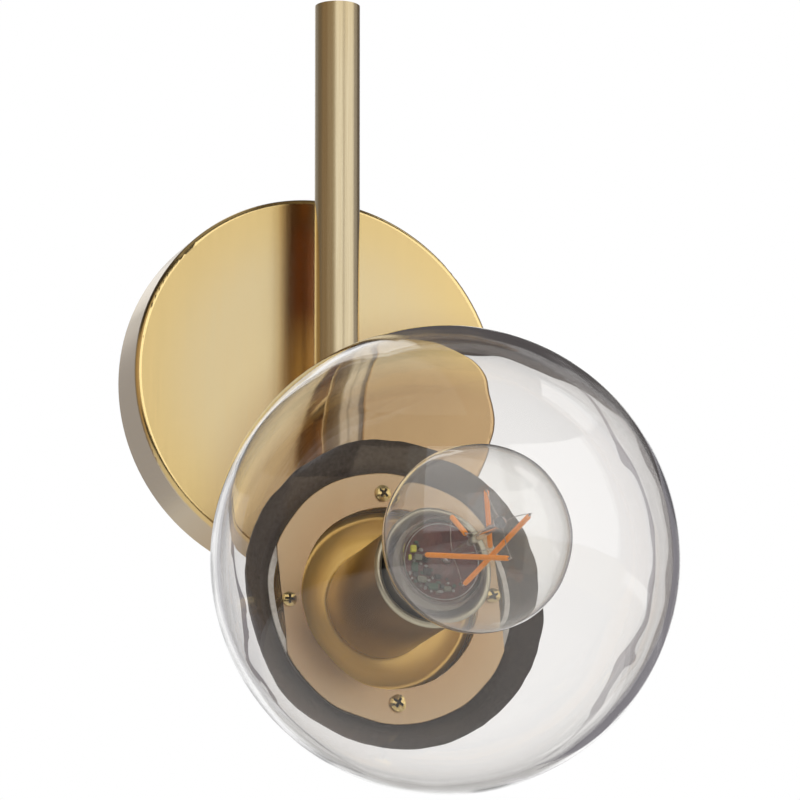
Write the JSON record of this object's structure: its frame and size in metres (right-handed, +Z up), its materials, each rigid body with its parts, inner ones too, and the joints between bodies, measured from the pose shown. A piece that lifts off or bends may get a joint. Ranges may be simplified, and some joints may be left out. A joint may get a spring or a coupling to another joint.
{
  "type": "globe wall sconce",
  "caption": "Wall light: round brass canopy, upright stem and a clear glass globe on a clamped fitter around a globe-shaped filament lamp.",
  "frame": {"origin": "centre of the canopy's back, on the wall", "axes": "+Z up, -Y out from the wall into the room, +X to the right as seen from the room"},
  "size_m": [0.2, 0.3045, 0.386],
  "materials": {
    "satin_brass": "satin brushed, lacquered",
    "plated_steel": "zinc plated",
    "green_screw": "green passivated",
    "plain_brass": "turned",
    "porcelain": "glazed",
    "gasket_rubber": "matte",
    "clear_silicone": "translucent",
    "globe_glass": "clear, blown",
    "lamp_glass": "clear",
    "nickel_shell": "nickel plated",
    "black_glass": "gloss",
    "solder": "dull",
    "circuit_board": "coated",
    "filament": "phosphor coated",
    "nickel_wire": "drawn"
  },
  "bodies": {
    "fixture": {"crossbar": "plated_steel", "ground_screw": "green_screw", "canopy": "satin_brass", "canopy_screws": "satin_brass", "canopy_nipple": "plated_steel", "canopy_washer": "plated_steel", "canopy_nut": "plated_steel", "standoff_post": "satin_brass", "stem_tube": "satin_brass", "stem_top_plug": "satin_brass", "stem_bottom_plug": "satin_brass", "stem_insert_upper": "plain_brass", "stem_insert_lower": "plain_brass", "arm_nipple": "plated_steel", "arm_sleeve": "satin_brass", "holder_cap": "satin_brass", "socket_cup": "satin_brass", "holder_washer": "plated_steel", "holder_nut": "plated_steel", "lampholder_bracket": "plated_steel", "lampholder_body": "porcelain", "lampholder_shell": "plain_brass", "lampholder_leaf": "plain_brass", "terminal_screws": "plated_steel"},
    "shade": {"fitter_ring": "satin_brass", "fitter_posts": "satin_brass", "thumb_screws": "satin_brass", "outer_gasket": "gasket_rubber", "glass_globe": "globe_glass", "inner_cushion": "clear_silicone", "clamp_plate": "satin_brass", "clamp_screws": "satin_brass"},
    "lamp_tip": {"lamp_tip": "solder"},
    "lamp": {"lamp_shell": "nickel_shell", "lamp_insulator": "black_glass", "lamp_glass": "lamp_glass", "lamp_board": "circuit_board", "lamp_stem": "lamp_glass", "lamp_filaments": "filament", "lamp_leads": "nickel_wire"}
  },
  "joints": [
    {"name": "shade_pull", "type": "slide", "parent": "fixture", "child": "shade", "axis": [0, -1, 0], "range_m": [0, 0.2]},
    {"name": "lamp_travel", "type": "slide", "parent": "fixture", "child": "lamp_tip", "axis": [0, -1, 0], "range_m": [0, 0.01452]},
    {"name": "lamp_turn", "type": "hinge", "parent": "lamp_tip", "child": "lamp", "pos_m": [0, -0.18, -0.1195], "axis": [0, -1, 0], "range_deg": [0, 1440]}
  ],
  "couplings": [
    {"joint": "lamp_travel", "follows": "lamp_turn", "m_per_rad": 0.00057751}
  ]
}
